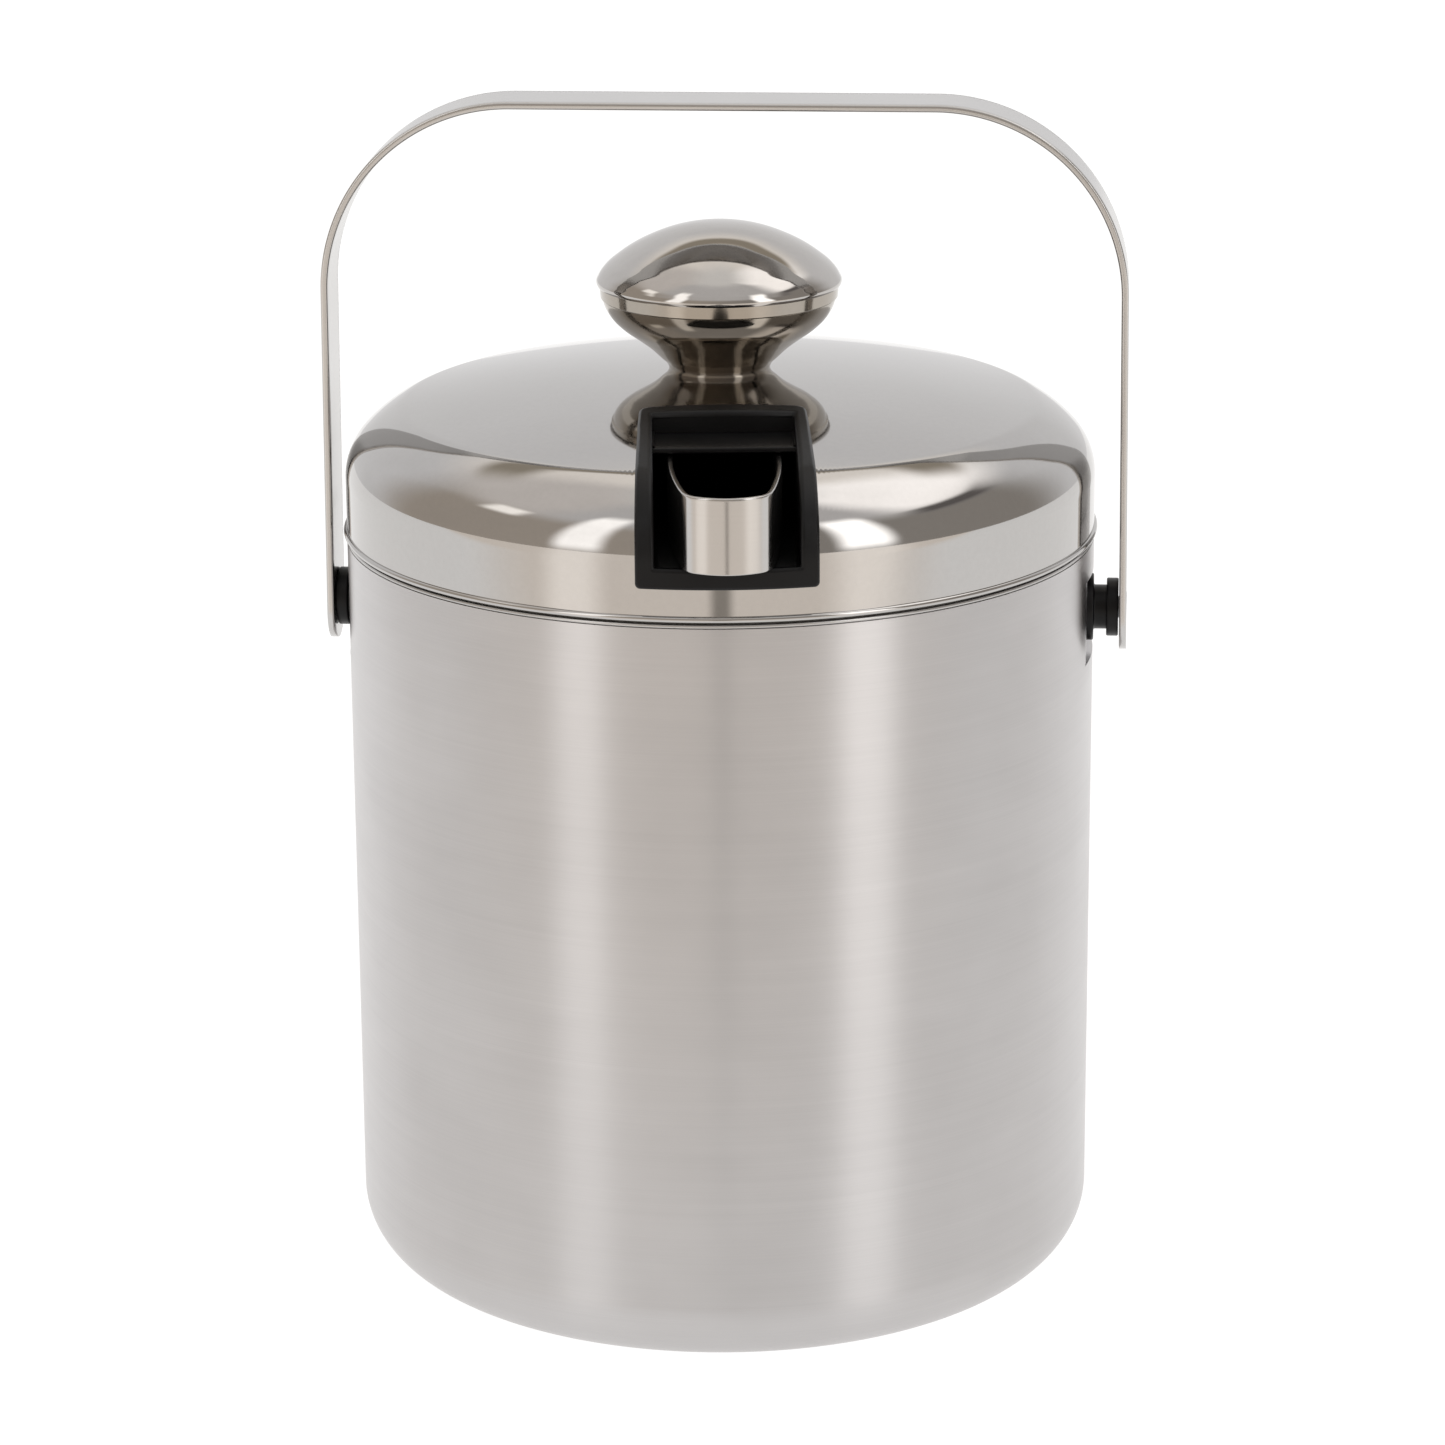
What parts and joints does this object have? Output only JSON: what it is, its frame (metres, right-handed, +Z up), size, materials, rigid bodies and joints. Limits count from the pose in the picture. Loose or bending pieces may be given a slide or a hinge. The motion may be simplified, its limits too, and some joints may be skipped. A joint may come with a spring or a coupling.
{
  "type": "ice bucket",
  "caption": "Double-wall stainless ice bucket with a swinging strap bail, a domed lid with a round knob, and tongs kept in a black pocket in the lid.",
  "frame": {"origin": "centre of the ring the bucket stands on, on the bucket's axis", "axes": "+Z up along the bucket's axis, +X along the bail's pivot axis, -Y towards the front, where the tongs pocket is; the lid is turned 5.6 degrees from it on the rim, as it was set down"},
  "size_m": [0.1558, 0.1536, 0.2309],
  "materials": {
    "brushed_steel": "satin",
    "satin_steel": "satin",
    "mirror_steel": "gloss",
    "polished_steel": "gloss",
    "zinc_steel": "satin",
    "black_plastic": "matte",
    "seal_rubber": "matte"
  },
  "bodies": {
    "bucket": {"outer_shell": "brushed_steel", "inner_liner": "satin_steel", "pivot_boss_left": "black_plastic", "pivot_boss_right": "black_plastic", "pivot_screws": "zinc_steel", "pivot_washers": "zinc_steel", "pivot_nuts": "zinc_steel"},
    "bail": {"bail_handle": "polished_steel"},
    "lid": {"lid_shell": "mirror_steel", "lid_pan": "satin_steel", "lid_seal": "seal_rubber", "tong_pocket": "black_plastic", "knob_cap": "mirror_steel", "knob_cup": "mirror_steel", "knob_insert": "black_plastic", "knob_screw": "zinc_steel", "knob_washer": "zinc_steel"},
    "tongs": {"tongs": "polished_steel"}
  },
  "joints": [
    {"name": "bail_swing", "type": "hinge", "parent": "bucket", "child": "bail", "pos_m": [0, 0, 0.132], "axis": [1, 0, 0], "range_deg": [-127, 127]},
    {"name": "lid_lift", "type": "slide", "parent": "bucket", "child": "lid", "axis": [0, 0, 1], "range_m": [0, 0.018]},
    {"name": "tongs_pull", "type": "slide", "parent": "lid", "child": "tongs", "axis": [0.0976, -0.9952, 0], "range_m": [0, 0.112]}
  ]
}
